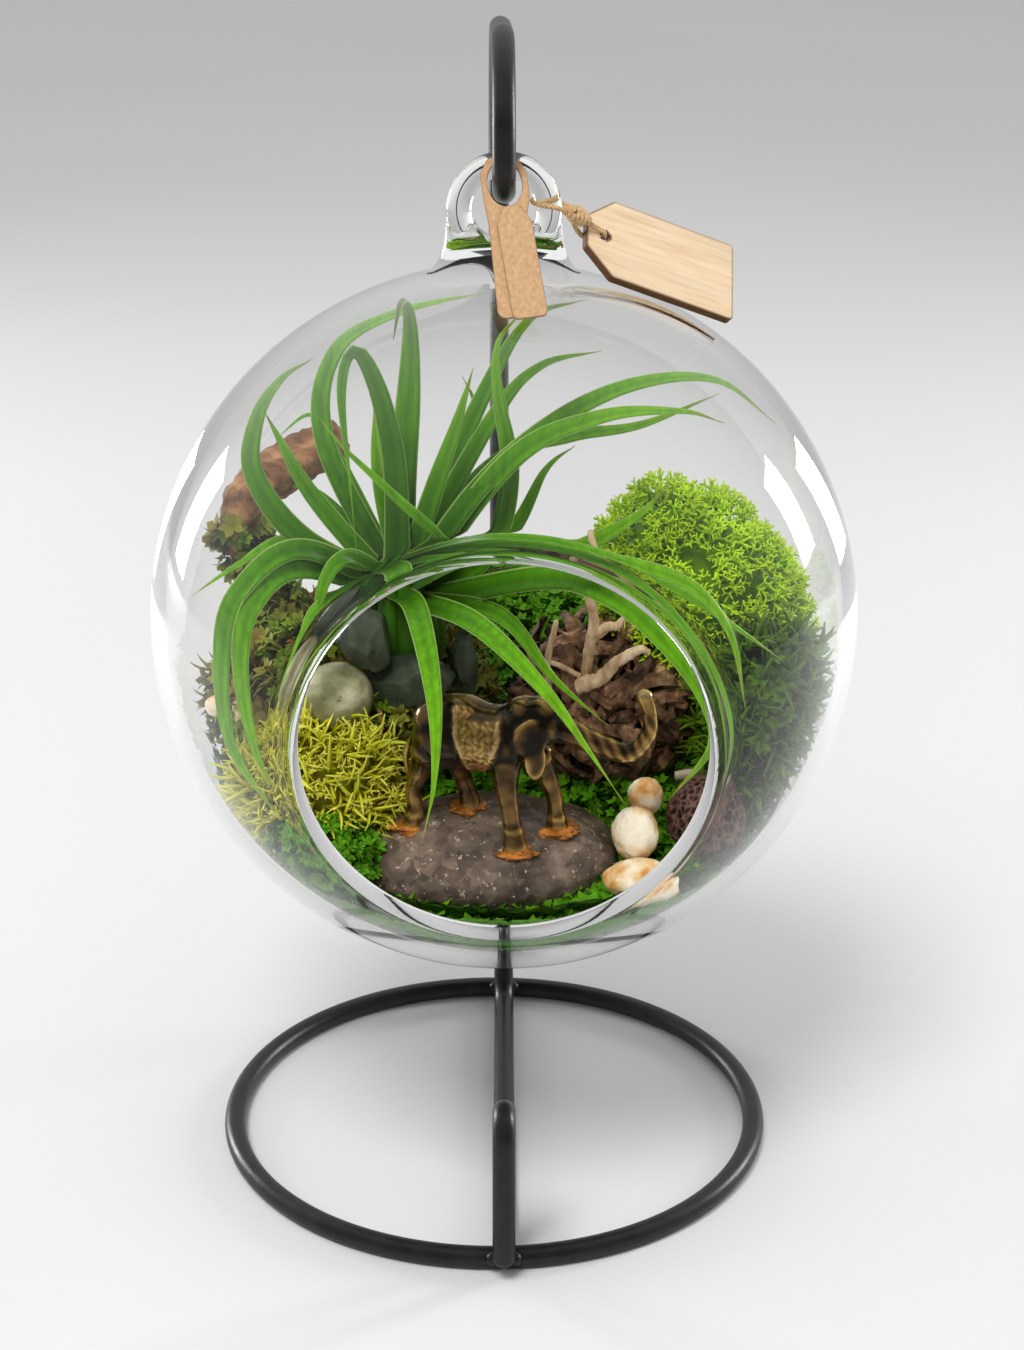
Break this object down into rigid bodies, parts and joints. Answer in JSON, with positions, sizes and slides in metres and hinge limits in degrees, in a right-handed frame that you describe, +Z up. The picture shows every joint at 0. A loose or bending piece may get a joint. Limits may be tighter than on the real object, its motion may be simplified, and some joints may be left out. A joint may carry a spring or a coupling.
{
  "type": "air plant holder",
  "caption": "Hanging glass globe with a side opening, planted with an air plant, moss, stones and an elephant figurine, on a bent wire stand with a wooden tag and a card label.",
  "frame": {"origin": "on the floor under the middle of the base ring, on the flat underside of the rod's floor run", "axes": "+Z up, -Y towards the globe's opening, +X to the viewer's right"},
  "size_m": [0.12, 0.1218, 0.1961],
  "materials": {
    "black_wire": "satin black",
    "clear_glass": "clear",
    "dark_moss": "rough",
    "yellow_moss": "rough",
    "green_moss": "rough",
    "lime_moss": "rough",
    "grey_stone": "rough",
    "cream_stone": "smooth",
    "lava": "pitted",
    "bark": "rough",
    "pale_wood": "bare",
    "bronze": "antiqued",
    "glue": "satin",
    "leaf": "satin",
    "twine": "rough",
    "kraft_card": "matte"
  },
  "bodies": {
    "stand": {"base_ring": "black_wire", "stand_rod": "black_wire", "weld_beads": "black_wire"},
    "globe": {"glass_globe": "clear_glass", "moss_bed": "dark_moss", "moss_mound_left": "dark_moss", "reindeer_moss_yellow": "yellow_moss", "cushion_moss_front": "green_moss", "reindeer_moss_lime": "lime_moss", "fern_moss_right": "dark_moss", "river_stone": "grey_stone", "round_pebble": "grey_stone", "grey_stones": "grey_stone", "cream_pebbles": "cream_stone", "wall_pebbles": "cream_stone", "lava_stone": "lava", "bark_heap": "bark", "forked_twigs": "bark", "driftwood": "bark", "pale_wood": "pale_wood", "bronze_elephant": "bronze", "glue_dabs": "glue", "air_plant": "leaf", "tag_twine": "twine", "twine_knot": "twine"},
    "tag": {"wooden_tag": "pale_wood"},
    "label": {"card_label": "kraft_card"}
  },
  "joints": [
    {"name": "globe_swing", "type": "hinge", "parent": "stand", "child": "globe", "pos_m": [0, 0, 0.17115], "axis": [0, 1, 0], "range_deg": [-20, 20]},
    {"name": "tag_turn", "type": "hinge", "parent": "globe", "child": "tag", "pos_m": [0.0161, 0.0014, 0.1631], "axis": [0.4679, -0.6159, 0.6339], "range_deg": [0, 20]},
    {"name": "label_swing", "type": "hinge", "parent": "stand", "child": "label", "pos_m": [0, -0.00599, 0.17427], "axis": [0, 1, 0], "range_deg": [-20, 20]}
  ]
}
